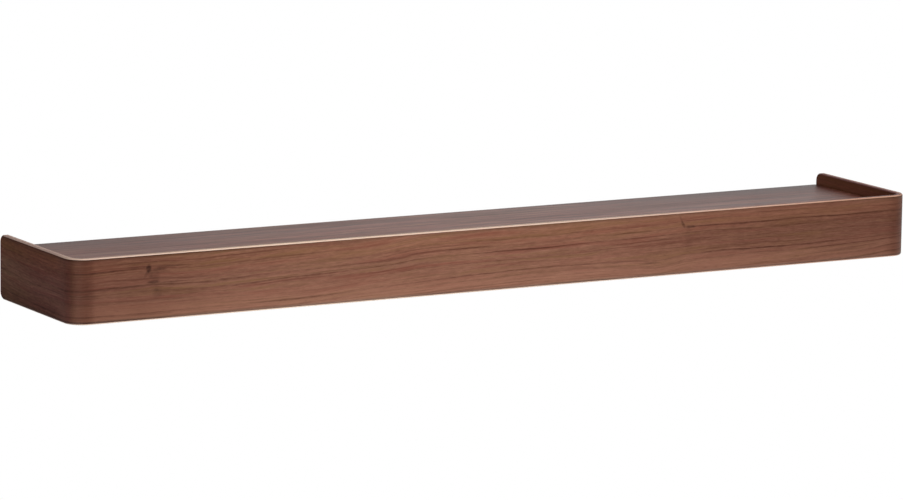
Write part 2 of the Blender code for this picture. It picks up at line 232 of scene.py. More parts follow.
class WoodColours(bpy.types.PropertyGroup):
    """Colours of the woods and the screws, as light reflects from them."""

    walnut_light: colour("Walnut, light", (0.409, 0.194, 0.124), "Early wood of the walnut leaf")
    walnut_deep: colour("Walnut, deep", (0.188, 0.080, 0.050), "Late wood of the walnut leaf")
    walnut_dark: colour("Walnut, dark", (0.100, 0.037, 0.022), "Growth lines of the walnut leaf")
    walnut_knot: colour("Walnut, knot", (0.040, 0.014, 0.009), "Pin knots in the walnut leaf")
    walnut_red: colour("Walnut, red", (0.260, 0.089, 0.058), "Redder streaks of the walnut leaf")
    walnut_olive: colour("Walnut, olive", (0.250, 0.128, 0.058), "Greener streaks of the walnut leaf")
    deck_leaf: colour("Deck leaf", (1.0, 0.90, 1.0), "Tint of the deck's leaf against the band's")
    ply_long: colour("Plies, long grain", (0.90, 0.66, 0.53), "Core plies cut along their grain")
    ply_cross: colour("Plies, cross grain", (0.54, 0.32, 0.22), "Core plies cut across their grain")
    glue: colour("Glue line", (0.15, 0.07, 0.04), "Glue between two plies")
    beech_light: colour("Beech, light", (0.64, 0.42, 0.27), "Early wood of the beech")
    beech_dark: colour("Beech, dark", (0.46, 0.26, 0.155), "Growth lines of the beech")
    beech_fleck: colour("Beech, flecks", (0.28, 0.15, 0.085), "Flecks in the beech")
    birch_light: colour("Birch, light", (0.70, 0.54, 0.37), "Light figure of the birch plywood")
    birch_dark: colour("Birch, dark", (0.52, 0.36, 0.22), "Dark figure of the birch plywood")
    zinc: colour("Zinc", (0.62, 0.62, 0.60), "Zinc plating of the screws")


class StudioSettings(bpy.types.PropertyGroup):
    """Camera, light and floor."""

    lens: FloatProperty(name="Lens", default=197.80, description="Focal length on a 36 mm wide frame, in mm")
    azimuth: angle("Azimuth", 29.307, "Turn of the view to the right")
    elevation: angle("Elevation", 9.667, "How far the view looks down")
    roll: angle("Roll", 0.760, "Tilt of the frame")
    distance: length("Distance", 6.2622, "From the camera to the point that it aims at")
    aim: FloatVectorProperty(
        name="Aim", default=(-0.02497, -0.105, 0.01985), description="The point that the camera aims at",
        subtype="TRANSLATION", unit="LENGTH", size=3, precision=5,
    )
    key_power: power("Key light", 14.6, "Power of the front light")
    top_power: power("Top light", 13.0, "Power of the light above")
    back_power: power("Back light", 20.0, "Power of the rear light")
    ambient: FloatProperty(name="Ambient", default=0.225, description="Light from all round", min=0.0)
    floor_drop: length("Floor drop", 1.2, "How far the floor is below the shelf")
    floor_size: length("Floor size", 5.0, "Length of the floor's sides")


def reckon(operation, flipped=False):
    """Return a method that joins a reading to another value by a Math node."""

    def method(self, other):
        """Return the result as a new reading."""
        values = (other, self) if flipped else (self, other)
        return self.bench.math(operation, *values)

    return method


class Reading:
    """A node's output, which can be reckoned with as a number is."""

    def __init__(self, bench, socket):
        self.bench = bench
        self.socket = socket

    __add__ = reckon("ADD")
    __radd__ = reckon("ADD", flipped=True)
    __sub__ = reckon("SUBTRACT")
    __rsub__ = reckon("SUBTRACT", flipped=True)
    __mul__ = reckon("MULTIPLY")
    __truediv__ = reckon("DIVIDE")
    __pow__ = reckon("POWER")
    __lt__ = reckon("LESS_THAN")
    __gt__ = reckon("GREATER_THAN")
    at_least = reckon("MAXIMUM")
    at_most = reckon("MINIMUM")

    def fit(self, low, high, to_low=0.0, to_high=1.0, smooth=False):
        """Return this value moved from one range to another, held at its ends."""
        feeds = dict(enumerate((self, low, high, to_low, to_high)))
        kind = "SMOOTHSTEP" if smooth else "LINEAR"
        return self.bench.out("ShaderNodeMapRange", feeds, interpolation_type=kind)

    def dims(self, share):
        """Return a factor that is 1 where this is 0, and the share where this is 1."""
        return self.fit(0.0, 1.0, 1.0, share)


class Bench:
    """Adds nodes to the tree of a material or a world, or to a bare tree, and joins them."""

    def __init__(self, owner):
        self.owner = owner
        self.tree = getattr(owner, "node_tree", owner)

    def add(self, kind, feeds=None, **settings):
        """Add a node, change its settings and feed its inputs."""
        node = self.tree.nodes.new(kind)
        for key, value in settings.items():
            setattr(node, key, value)
        for key, value in (feeds or {}).items():
            self.feed(node.inputs[key], value)
        return node

    def out(self, kind, feeds=None, socket=0, **settings):
        """Add a node and return one of its outputs."""
        return Reading(self, self.add(kind, feeds, **settings).outputs[socket])

    def feed(self, socket, value):
        """Join a socket to a reading, or set it to a plain value."""
        if isinstance(value, Reading):
            self.tree.links.new(value.socket, socket)
        elif socket.type == "RGBA":
            socket.default_value = (*value[:3], 1.0)
        else:
            socket.default_value = value

    def math(self, operation, *values, clamp=False):
        """Return the result of one operation on readings and numbers."""
        return self.out("ShaderNodeMath", dict(enumerate(values)), operation=operation, use_clamp=clamp)

    def vector(self, x=0.0, y=0.0, z=0.0):
        """Return a vector of three readings or numbers."""
        return self.out("ShaderNodeCombineXYZ", {0: x, 1: y, 2: z})

    def parts(self, vector):
        """Return the three parts of a vector."""
        node = self.add("ShaderNodeSeparateXYZ", {0: vector})
        return [Reading(self, socket) for socket in node.outputs[0:3]]

    def place(self):
        """Return the object's own coordinates as a vector."""
        return self.out("ShaderNodeTexCoord", socket="Object")

    def tint(self, amount, low, high, way="MIX"):
        """Return a colour between two others."""
        return self.out("ShaderNodeMix", {0: amount, 6: low, 7: high}, 2, data_type="RGBA", blend_type=way)

    def noise(self, place, detail=2.0, roughness=0.5, scale=1.0, distortion=0.0):
        """Return soft noise from 0 to 1, at a place given as a vector or by its parts."""
        feeds = {
            "Vector": self.vector(*place) if isinstance(place, tuple) else place,
            "Scale": scale, "Detail": detail, "Roughness": roughness, "Distortion": distortion,
        }
        return self.out("ShaderNodeTexNoise", feeds)

    def curve(self, value, points):
        """Return a value read off a smooth curve through points from 0 to 1."""
        node = self.add("ShaderNodeFloatCurve", {"Value": value})
        line = node.mapping.curves[0]
        line.points[0].location = points[0]
        line.points[1].location = points[-1]
        for point in points[1:-1]:
            line.points.new(*point)
        node.mapping.update()
        return Reading(self, node.outputs[0])

    def ramp(self, value, stops):
        """Return a grey level read off stops from 0 to 1."""
        node = self.add("ShaderNodeValToRGB", {0: value})
        elements = node.color_ramp.elements
        elements[0].position, elements[1].position = stops[0][0], stops[-1][0]
        for place, _ in stops[1:-1]:
            elements.new(place)
        for element, (_, level) in zip(sorted(elements, key=lambda item: item.position), stops):
            element.color = (level, level, level, 1.0)
        return Reading(self, node.outputs[0])

    def shader(self, feeds):
        """Feed the material's shader and return it."""
        shader = self.tree.nodes["Principled BSDF"]
        for name, value in feeds.items():
            self.feed(shader.inputs[name], value)
        return shader

    def coat(self, shade, roughness, height, depth, strength=0.5, specular=0.35, metallic=0.0):
        """Give the material its colour, gloss and a relief of some depth, and return it."""
        relief = self.out("ShaderNodeBump", {"Strength": strength, "Distance": depth, "Height": height})
        feeds = {"Base Color": shade, "Roughness": roughness, "Normal": relief, "Metallic": metallic}
        self.shader({**feeds, "Specular IOR Level": specular})
        return self.owner


def new_material(name):
    """Return a new material with nodes."""
    made = bpy.data.materials.new(name)
    made.use_nodes = True
    return made


def new_tree(name, kind, inputs, output):
    """Start a node tree with named inputs and one output, and return it, its bench and its inputs."""
    tree = bpy.data.node_groups.new(name, kind)
    for label, sort in inputs:
        tree.interface.new_socket(label, in_out="INPUT", socket_type="NodeSocket" + sort)
    tree.interface.new_socket(output[0], in_out="OUTPUT", socket_type="NodeSocket" + output[1])
    bench = Bench(tree)
    given = bench.add("NodeGroupInput").outputs
    return tree, bench, [Reading(bench, socket) for socket in given[0:len(inputs)]]


def spot_tree():
    """Return the soft oval that knots and streaks are drawn with."""
    made = bpy.data.node_groups.get("soft oval")
    if made:
        return made
    labels = (
        "Along", "Across", "Centre along", "Centre across", "Half length", "Half height", "Depth", "Lean",
    )
    inputs = [(label, "Float") for label in labels]
    made, bench, given = new_tree("soft oval", "ShaderNodeTree", inputs, ("Mark", "Float"))
    along, across, centre, height, half, rise, depth, lean = given
    up = across - height
    out = along - centre - up * lean
    oval = (out / half) ** 2.0 + (up / rise) ** 2.0
    bench.add("NodeGroupOutput", {0: oval.fit(0.0, 1.0, 1.0, 0.0, smooth=True) * depth})
    return made


def spots(bench, along, across, rows):
    """Return the sum of the soft ovals in rows of STREAKS or KNOTS."""
    total = 0.0
    for centre, height, half, rise, depth, *lean in rows:
        lengths = [value * MM for value in (centre, height, half, rise)]
        feeds = dict(enumerate((along, across, *lengths, depth, *(lean or [0.0]))))
        total = total + bench.out("ShaderNodeGroup", feeds, node_tree=spot_tree())
    return total


def table_points(rows, floor, span):
    """Return a table of values by millimetres along the band as points from 0 to 1."""
    reach = GRAIN_REACH / MM
    return [((along + reach) / (2 * reach), (value - floor) / span) for along, value in rows]


def line_stops():
    """Return the growth lines as the stops of a grey ramp."""
    stops = [(0.0, 0.0)]
    for height, soft, sharp, depth in GROWTH_LINES:
        for place, level in ((height - soft, 0.0), (height - LINE_CREST, depth), (height + sharp, 0.0)):
            stops.append(((place - LINE_FLOOR) / LINE_SPAN, level))
    return stops + [(1.0, 0.0)]


class Leaf(Bench):
    """The walnut leaf's bench, which knows where it is on the grain map and how the grain drifts.

    Places in its methods are metres on the map: along the band from the middle of its front, and up
    from its foot. The inside and the deck lie past their offsets.
    """

    def __init__(self, owner):
        super().__init__(owner)
        along, across, _ = self.parts(self.out("ShaderNodeUVMap", uv_map=GRAIN))
        self.along, self.across = along, across
        self.share = along.fit(-GRAIN_REACH, GRAIN_REACH)
        self.on_left = along.fit(-0.60, -0.64)
        self.outside = across < OUTSIDE_END
        self.on_deck = across > DECK_START
        self.inside = (across > INSIDE_START) - self.on_deck
        height = self.math("WRAP", across, 0.09, -0.01)
        lower = self.curve(self.share, table_points(DRIFT_LOWER, DRIFT_FLOOR, DRIFT_SPAN))
        upper = self.curve(self.share, table_points(DRIFT_UPPER, DRIFT_FLOOR, DRIFT_SPAN))
        drift = lower + (upper - lower) * height.fit(*DRIFT_CHANGE, smooth=True)
        waver = self.noise((along * 11.0, across * 45.0)).fit(0.2, 0.8, -0.0013, 0.0013)
        drift = drift * (DRIFT_SPAN * MM) + DRIFT_FLOOR * MM + waver
        self.line = height - drift
        self.across_grain = across - drift

    def grain(self, stretch, fineness, detail=3.0, roughness=0.6, offset=0.0):
        """Return noise drawn out along the grain."""
        return self.noise((self.along * stretch, self.across_grain * fineness, offset), detail, roughness)

    def dark_lines(self, broken, thread):
        """Return how dark the growth lines, the streaks and the finest threads are."""
        growth = self.ramp(self.line * (1 / (LINE_SPAN * MM)) + -LINE_FLOOR / LINE_SPAN, line_stops())
        growth = growth * self.grain(5.0, 90.0, 2.0, 0.5, 3.7).fit(0.32, 0.62, 0.3, 1.0, smooth=True)
        streaks = spots(self, self.along, self.line, STREAKS) * self.outside
        dark = (growth + streaks) * broken.fit(0.2, 0.8, 1.3, 0.7)
        return self.math("ADD", thread * 0.45, dark, clamp=True)

    def knots(self):
        """Return how dark the pin knots and their feathers are, with ragged sides."""
        ragged = self.noise((self.along * 170.0, self.across * 520.0)).fit(0.36, 0.64, 0.75, 1.2)
        return self.math("MULTIPLY", spots(self, self.along, self.across, KNOTS), ragged, clamp=True)

    def foot(self):
        """Return how much lighter the front is towards its foot."""
        rise = self.across.fit(0.036, 0.004, 0.0, 0.62, smooth=True) * self.outside
        to_right = self.along.fit(0.1, 0.45, 1.0, 0.55)
        to_left = self.along.fit(-0.40, -0.54, 1.0, 1.45)
        return rise * to_right * to_left * (1.0 - self.on_left)

    def darkened_arris(self, rub):
        """Return how much darker the eased edges are drawn: most so at the top of the front's left end."""
        worn = self.along.fit(-0.4, -0.15, 0.9, 0.35) * self.across.fit(0.01, 0.03)
        return rub * worn.at_least(0.45)

    def deck_figure_and_painted_shade(self, behind):
        """Return the deck's level: its figure, with painted shade to the right where the lamps' light falls
        off, darker to the left, and painted shade in the rear corners beside the returns.
        """
        figure = self.grain(4.0, 130.0, 3.0, 0.7, 12.4).fit(0.3, 0.7, 0.43, 1.17)
        short = self.grain(17.0, 170.0, 2.0, 0.6, 18.1).fit(0.3, 0.7, 0.78, 1.22)
        level = self.along.fit(0.0, 0.5, 1.0, 0.75) * (figure * short)
        level = level * self.along.fit(-0.5, -0.1, 0.78, 1.0)
        ends = self.along.fit(-0.3, -0.5, 0.3, 1.0).at_least(self.along.fit(0.1, 0.5, 0.3, 1.1))
        return level * (1.0 - ends * behind(0.06, 0.005, 0.55))

    def light(self):
        """Return the tint multiplied into each stretch: its tone and painted shade, where it is redder, and a
        painted sheen that greys the front's foot and top edge and the deck's rear.
        """
        across, outside = self.across, self.outside
        from_front = self.math("WRAP", across, DECK_UNDER_OFFSET, DECK_OFFSET)
        rear = DECK_OFFSET + DECK_HIGH.y - DECK_LOW.y

        def behind(start, stop, most):
            """Return a value that rises towards the deck's rear edge."""
            return from_front.fit(rear - start, rear - stop, 0.0, most)

        # Painted shade: the tone table darkens the bends and the right end
        level = self.curve(self.share, table_points(TONE_AND_PAINTED_SHADE, 0.0, TONE_SPAN)) * TONE_SPAN
        # Painted shade: the left return's outside is drawn darker towards its foot
        level = across.fit(0.0, 0.036, -0.32, 0.05, smooth=True) * self.on_left * outside + level
        # Painted shade: the band's inside, which the lamps hardly reach, is drawn darker
        level = self.inside * -0.32 + level
        # The deck takes its own level, with its painted shade
        level = (self.deck_figure_and_painted_shade(behind) - level) * self.on_deck + level
        cool = across.fit(0.066, 0.046, -1.0, 1.0) * outside
        plum = self.along.fit(-0.599, -0.603) * self.along.fit(-0.77, -0.68)
        top = across.fit(0.050, 0.070) * (self.on_left * outside)
        # Painted sheen: lifts green and blue at the front's foot and top edge and towards the deck's rear,
        # standing in for the reflection of the pale floor and backdrop
        painted_sheen = across.fit(0.0055, 0.0, smooth=True).at_least(across.fit(0.072, 0.080, 0.0, 0.25))
        painted_sheen = painted_sheen * outside + behind(0.06, 0.01, 0.33) * self.on_deck
        green = level ** 1.25 * (cool * 0.02 + 0.99) * self.inside.dims(0.90)
        green = green * plum.dims(0.87) * top.dims(0.88) * (painted_sheen * 0.42 + 1.0)
        blue = level ** 1.33 * (cool * 0.05 + 0.985) * self.inside.dims(0.86)
        blue = blue * top.dims(0.74) * (painted_sheen * 0.65 + 1.0)
        return self.vector(level, green, blue)


def walnut(colours):
    """Walnut leaf: drifting growth lines, fibres, pores and pin knots, laid on by the grain map, with painted
    shade and sheen multiplied in.
    """
    leaf = Leaf(new_material("walnut_leaf"))
    broad = leaf.grain(3.0, 26.0, 2.0, 0.5, 1.3).fit(0.3, 0.7)
    band = leaf.grain(5.5, 115.0, 2.0, 0.55, 6.3).fit(0.3, 0.7)
    fibre = leaf.grain(10.0, 330.0, 3.0, 0.68, 5.9).fit(0.3, 0.7)
    dash = leaf.grain(30.0, 480.0, 2.0, 0.6, 8.3).fit(0.3, 0.7)
    fleck = leaf.grain(120.0, 700.0, 1.0, 0.5, 9.6).fit(0.3, 0.7)
    thread = leaf.grain(5.0, 420.0, 2.0, 0.6, 15.2).fit(0.56, 0.70)
    hair = leaf.grain(36.0, 1500.0, 2.0, 0.6, 7.7).fit(0.3, 0.7)
    hue = leaf.grain(6.0, 130.0, 3.0, 0.7, 2.2)
    pore = leaf.grain(130.0, 2600.0, 1.0, 0.5, 4.4).fit(0.64, 0.73)
    rub = leaf.out("ShaderNodeAttribute", socket="Fac", attribute_name=RUB)

    tone = -0.10
    for layer, weight in ((broad, 0.22), (band, 0.22), (fibre, 0.22), (dash, 0.20), (fleck, 0.34)):
        tone = layer * weight + tone
    tone = (tone - 0.5) * (leaf.on_left * 0.6 + 1.0) + 0.5
    shade = leaf.tint(tone, colours.walnut_deep, colours.walnut_light)
    for amount, stain in (
        (hue.fit(0.50, 0.70, 0.0, 0.80), colours.walnut_red),
        (hue.fit(0.50, 0.30, 0.0, 0.80), colours.walnut_olive),
        (leaf.along.fit(0.12, 0.35, 0.0, 0.22), colours.walnut_red),
        (leaf.foot(), colours.walnut_light),
        (leaf.dark_lines(dash * 0.5 + fleck * 0.5, thread), colours.walnut_dark),
        (pore * 0.40, colours.walnut_dark),
        (hair.fit(0.0, 1.0, 0.30, 0.0), colours.walnut_dark),
        (leaf.knots(), colours.walnut_knot),
        (leaf.darkened_arris(rub), colours.walnut_dark),
    ):
        shade = leaf.tint(amount, shade, stain)
    shade = leaf.tint(leaf.on_deck, shade, colours.deck_leaf, "MULTIPLY")
    # Painted shade and painted sheen, multiplied into the leaf's colour
    shade = leaf.tint(1.0, shade, leaf.light(), "MULTIPLY")

    rough = fibre.fit(0.0, 1.0, 0.46, 0.56) + rub * -0.08
    sheen = (fibre * 0.5 + broad * 0.5).fit(0.2, 0.8, 0.14, 0.30) * leaf.inside.dims(0.5)
    return leaf.coat(shade, rough, hair * 0.35 - pore, 0.00004, specular=sheen)


def ply_edge(name, glue, depth, skin, plies, long_colour, cross_colour, painted_light_tint=None):
    """Cut edge of plywood: plies of long and cross grain with glue lines, from a depth across the board."""
    bench = Bench(new_material(name))
    along, across = depth(bench)
    count, thickness = plies
    place = (across - skin) / ((thickness - 2 * skin) / count)
    index = bench.math("FLOOR", place)
    crossed = bench.math("PINGPONG", index, 1.0) > 0.5
    inside = place - index
    seam = inside.at_most(1.0 - inside).fit(0.0, 0.07, 1.0, 0.0, smooth=True)
    streak = bench.noise((along * 28.0, across * 2600.0), 3.0, 0.6)
    speck = bench.noise((along * 1500.0, across * 1900.0), 2.0, 0.6)
    patch = bench.noise((along * 17.0, index), 3.0, 0.6)
    light = bench.tint(streak.fit(0.35, 0.65, 0.22, 0.0), long_colour, cross_colour)
    dark = bench.tint(speck.fit(0.35, 0.7, 0.0, 0.55), cross_colour, glue)
    dark = bench.tint(patch.fit(0.3, 0.7, 0.0, 0.30), dark, long_colour)
    shade = bench.tint(seam * 0.55, bench.tint(crossed, light, dark), glue)
    # Painted light laid over the plies, where one is given
    if painted_light_tint:
        shade = bench.tint(1.0, shade, painted_light_tint(bench, across), "MULTIPLY")
    return bench.coat(shade, speck.fit(0.3, 0.7, 0.58, 0.70), streak * 0.5 - (seam + speck), 0.00005)


def band_edge_painted_light(bench, across):
    """Return the painted light on the band's edge: brighter to the left and on the front, where the arris
    faces the lamps, darker and more orange to the right, where their light falls off, and its inner plies
    darker towards the ends.
    """
    x, y, _ = bench.parts(bench.place())
    tone = x.fit(-0.50, -0.36, 1.03, 1.16) * x.fit(-0.3, 0.55, 1.0, 0.74) * y.fit(-0.20, -0.16, 1.0, 0.74)
    front = y.fit(-0.20, -0.19, 1.0, 0.0)
    ends = x.fit(0.1, 0.5).at_least(x.fit(-0.45, -0.55, 0.0, 0.4) * front)
    inner = ends * (front * 0.003 + across).fit(0.0045, 0.0075, 0.0, 0.72)
    tone = tone * (1.0 - inner)
    return bench.vector(tone, tone ** 1.2 * x.fit(0.15, 0.5, 1.0, 0.80), tone * x.fit(0.15, 0.5, 1.0, 0.68))


def map_depth(bench):
    """Read along and across the cut edge from the grain map."""
    return bench.parts(bench.out("ShaderNodeUVMap", uv_map=GRAIN))[0:2]


def rib_depth(bench):
    """Read along and across a rib's cut edge from its place, each rib counted from its own left face."""
    x, y, z = bench.parts(bench.place())
    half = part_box("rib_right")[0].x - RIB_LOW.x
    return y + z, bench.math("WRAP", x, half / 2, -half / 2) + (RIB_HIGH.x - RIB_LOW.x) / 2


def solid_wood(name, light, dark, fleck):
    """Planed timber with growth rings and flecks, its grain along the axis that ends its name."""
    bench = Bench(new_material(name))
    x, y, z = bench.parts(bench.place())
    along, first, second = {"X": (x, y, z), "Y": (y, x, z), "Z": (z, x, y)}[name[-1]]
    off = bench.noise((along * 3.0, 0.0, 1.7)).fit(0.2, 0.8, -0.006, 0.006)
    radius = bench.math("SQRT", (first + off + 0.031) ** 2.0 + (second + 0.043) ** 2.0)
    spread = bench.noise((along, first, second), scale=9.0)
    ring = bench.math("FRACT", radius * 330.0 + spread) ** 3.0
    fibre = bench.noise((along * 12.0, first * 700.0, second * 700.0), 3.0, 0.6)
    mark = bench.noise((along * 260.0, first * 2100.0, second * 2100.0), 2.0, 0.6).fit(0.64, 0.72)
    shade = bench.tint(fibre.fit(0.3, 0.7), dark, light)
    shade = bench.tint(ring * 0.45, shade, dark)
    shade = bench.tint(mark * 0.6, shade, fleck)
    return bench.coat(shade, fibre.fit(0.3, 0.7, 0.55, 0.66), fibre * 0.4 - mark, 0.00005)


def birch_face(light, dark):
    """Face leaf of birch plywood, with the broad figure of a peeled leaf."""
    bench = Bench(new_material("birch_face"))
    x, y, z = bench.parts(bench.place())
    warp = bench.noise((y * 9.0, z * 20.0, x))
    figure = bench.noise((y * 6.0, z * 70.0 + warp * 5.0, x), 3.0, 0.55)
    fibre = bench.noise((y * 30.0, z * 1300.0, x), 3.0, 0.6)
    shade = bench.tint(figure.fit(0.35, 0.65), dark, light)
    shade = bench.tint(fibre.fit(0.35, 0.7, 0.25, 0.0), shade, dark)
    return bench.coat(shade, fibre.fit(0.3, 0.7, 0.52, 0.64), fibre, 0.00004, 0.4)


def zinc_plate(zinc):
    """Zinc-plated steel with a cloudy bloom and fine scratches."""
    bench = Bench(new_material("zinc_plate"))
    place = bench.place()
    bloom = bench.noise(place, 3.0, scale=900.0)
    scratch = bench.noise(place, 2.0, 0.7, 5200.0, 1.5)
    shade = bench.tint(bloom.fit(0.3, 0.7, 0.0, 0.5), zinc, Vector(zinc) * 0.7)
    return bench.coat(shade, scratch.fit(0.3, 0.7, 0.26, 0.44), scratch, 0.00001, 0.4, 0.5, metallic=1.0)


def finish_of(name, context):
    """Return the named finish, made once from the colour settings."""
    made = bpy.data.materials.get(name)
    if made:
        return made
    colours = context.scene.shelf_colours
    sizes = context.scene.shelf_sizes
    birch = (colours.birch_light, colours.birch_dark)
    if name == "walnut_leaf":
        return walnut(colours)
    if name == "band_plies":
        core = (colours.ply_long, colours.ply_cross)
        return ply_edge(name, colours.glue, map_depth, sizes.veneer, (5, sizes.ply), *core, band_edge_painted_light)
    if name == "deck_plies":
        plies = (9, DECK_HIGH.z - DECK_LOW.z)
        return ply_edge(name, colours.glue, map_depth, sizes.veneer, plies, *birch)
    if name == "rib_plies":
        return ply_edge(name, colours.glue, rib_depth, 0.0, (11, RIB_HIGH.x - RIB_LOW.x), *birch)
    if name == "birch_face":
        return birch_face(*birch)
    if name == "zinc_plate":
        return zinc_plate(colours.zinc)
    return solid_wood(name, colours.beech_light, colours.beech_dark, colours.beech_fleck)


def add_object(name, mesh):
    """Put a mesh in the scene as an object at the origin."""
    made = bpy.data.objects.new(name, mesh)
    bpy.context.scene.collection.objects.link(made)
    return made


def settle(piece):
    """Turn a piece's modifiers into plain mesh and remove them."""
    graph = bpy.context.evaluated_depsgraph_get()
    mesh = bpy.data.meshes.new_from_object(
        piece.evaluated_get(graph), preserve_all_data_layers=True, depsgraph=graph
    )
    mesh.name = piece.name
    piece.modifiers.clear()
    piece.data = mesh
    return piece


def hand_over(piece, body, slot, *nodes):
    """Let a piece stand for its CAD nodes and move with their body."""
    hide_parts(*nodes)
    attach(piece, body)


def run_tree(piece, tree, values):
    """Put a node tree on a piece with its named inputs set, and settle the piece."""
    step = piece.modifiers.new(tree.name, "NODES")
    step.node_group = tree
    for item in tree.interface.items_tree:
        if item.item_type == "SOCKET" and item.in_out == "INPUT" and item.name in values:
            step[item.identifier] = values[item.name]
    return settle(piece)


def finish_tree(bench, shape, face, edge):
    """End a tree: realize its shape, then give its faces and its cut edges their finishes."""
    shape = bench.out("GeometryNodeRealizeInstances", {0: shape})
    marked = bench.out("GeometryNodeInputNamedAttribute", {0: CUT_EDGE}, data_type="BOOLEAN")
    shape = bench.out("GeometryNodeSetMaterial", {"Geometry": shape, "Material": face})
    feeds = {"Geometry": shape, "Selection": marked, "Material": edge}
    bench.add("NodeGroupOutput", {0: bench.out("GeometryNodeSetMaterial", feeds)})


def bending_tree():
    """The press: bends a flat blank round two formers, along X, with its faces across Y."""
    inputs = (
        ("Geometry", "Geometry"), ("Half front", "Float"), ("Bend radius", "Float"), ("Depth", "Float"),
        ("Foot", "Float"), ("Leaf", "Material"), ("Plies", "Material"),
    )
    tree, bench, given = new_tree(
        "press round the formers", "GeometryNodeTree", inputs, ("Geometry", "Geometry")
    )
    blank, half, radius, depth, foot, leaf, plies = given
    s, n, z = bench.parts(bench.out("GeometryNodeInputPosition"))
    out = bench.math("ABSOLUTE", s)
    past = out - half
    turned = (past / radius).fit(0.0, QUARTER, 0.0, QUARTER)
    run = (past - radius * QUARTER).at_least(0.0)
    reach = radius - n
    x = bench.math("SIGN", s) * (out.at_most(half) + reach * bench.math("SINE", turned))
    y = run - reach * bench.math("COSINE", turned) + (radius - depth)
    feeds = {"Geometry": blank, "Position": bench.vector(x, y, z + foot)}
    finish_tree(bench, bench.out("GeometryNodeSetPosition", feeds), leaf, plies)
    return tree


def setting_out_tree():
    """Sets one copy of a part at each point, turned to its driving direction and a random way round."""
    made = bpy.data.node_groups.get("set out copies")
    if made:
        return made
    inputs = (
        ("Geometry", "Geometry"), ("Part", "Object"), ("Direction", "Vector"), ("Turn", "Float"),
        ("Seed", "Int"), ("Face", "Material"), ("Edge", "Material"),
    )
    tree, bench, given = new_tree("set out copies", "GeometryNodeTree", inputs, ("Geometry", "Geometry"))
    points, part, direction, turn_most, seed, face, edge = given
    part = bench.out("GeometryNodeObjectInfo", {"Object": part, "As Instance": True}, "Geometry")
    spin = bench.add("FunctionNodeRandomValue", {"Seed": seed}, data_type="FLOAT")
    low, high = [socket for socket in spin.inputs if socket.enabled and socket.name in ("Min", "Max")]
    bench.feed(low, 0.0)
    bench.feed(high, turn_most)
    about = Reading(bench, next(socket for socket in spin.outputs if socket.enabled))
    way = bench.out("FunctionNodeEulerToRotation", {0: direction})
    feeds = {"Points": points, "Instance": part, "Rotation": way}
    copies = bench.out("GeometryNodeInstanceOnPoints", feeds)
    about = bench.out("FunctionNodeEulerToRotation", {0: bench.vector(0.0, 0.0, about)})
    feeds = {"Instances": copies, "Rotation": about, "Local Space": True}
    finish_tree(bench, bench.out("GeometryNodeRotateInstances", feeds), face, edge)
    return tree


def set_out(name, part, places, values):
    """Make one piece of copies of a part at places, and remove the part that was copied."""
    mesh = bpy.data.meshes.new(name)
    mesh.from_pydata([tuple(place) for place in places], [], [])
    piece = run_tree(add_object(name, mesh), setting_out_tree(), {"Part": part, **values})
    bpy.data.objects.remove(part)
    return piece


def quarter(steps):
    """Return the cosine and sine of angles through a quarter turn."""
    return [(math.cos(QUARTER * step / steps), math.sin(QUARTER * step / steps)) for step in range(steps + 1)]


def mirrored(columns):
    """Return columns of a board's left end as those of its right end."""
    return [(-a, low, high) for a, low, high in reversed(columns)]


def plate(rungs, profile, thickness, skin, back_offset):
    """Return a bmesh of a board with eased edges.

    rungs(inset) lists columns (a, low b, high b), and the profile lists (inset, depth, rub) from face to
    face. The board lies in a and b with its depth across. Its grain map has a and b on the leaves, and
    the way round and the depth on the cut edge.
    """
    shape = bmesh.new()
    leaf = shape.loops.layers.uv.new(GRAIN)
    cut = shape.faces.layers.bool.new(CUT_EDGE)
    rub = shape.verts.layers.float.new(RUB)

    def loop_of(inset):
        """Return the outline as one closed loop of (a, b)."""
        columns = rungs(inset)
        return [(a, low) for a, low, _ in columns] + [(a, high) for a, _, high in reversed(columns)]

    def lay(face):
        """Lay the leaf's map on a face, from its own corners."""
        behind = back_offset if face.calc_center_median().y > thickness / 2 else 0.0
        for corner in face.loops:
            corner[leaf].uv = (corner.vert.co.x, corner.vert.co.z + behind)

    rings = []
    for inset, depth, worn in profile:
        ring = [shape.verts.new((a, depth, b)) for a, b in loop_of(inset)]
        for vert in ring:
            vert[rub] = worn
        rings.append(ring)
    outline = loop_of(0)
    count = len(outline)
    way = [0.0]
    for here, there in zip(outline, outline[1:] + outline[:1]):
        way.append(way[-1] + math.dist(here, there))

    for lower, upper in zip(rings, rings[1:]):
        middle = (lower[0].co.y + upper[0].co.y) / 2
        for step in range(count):
            after = (step + 1) % count
            face = shape.faces.new((lower[step], lower[after], upper[after], upper[step]))
            if skin < middle < thickness - skin:
                face[cut] = True
                runs = (way[step], way[step + 1], way[step + 1], way[step])
                for corner, run in zip(face.loops, runs):
                    corner[leaf].uv = (run, corner.vert.co.y)
            else:
                lay(face)
    for ring in (rings[0], rings[-1]):
        for step in range(count // 2 - 1):
            across = count - 1 - step
            lay(shape.faces.new((ring[step], ring[step + 1], ring[across - 1], ring[across])))
    return shape


def edge_profile(thickness, skin, height, depth, power=1.3, steps=4):
    """Return an eased edge's profile, from one face to the other, with a corner where the leaf ends."""
    eased = []
    for c, s in quarter(steps):
        eased.append((height * (1 - s ** (2 / power)), depth * (1 - c ** (2 / power))))
    for (in_a, deep_a), (in_b, deep_b) in zip(eased, eased[1:]):
        if deep_a < skin < deep_b:
            share = (skin - deep_a) / (deep_b - deep_a)
            eased.append((in_a + (in_b - in_a) * share, skin))
    eased.sort(key=lambda point: (point[1], -point[0]))
    near = [(height + RUB_END, 0.0, 0.0), (height + RUB_FADE, 0.0, RUB_FADE_LEVEL)]
    near += [(inset, deep, 1.0) for inset, deep in eased]
    return near + [(inset, thickness - deep, worn) for inset, deep, worn in reversed(near)]


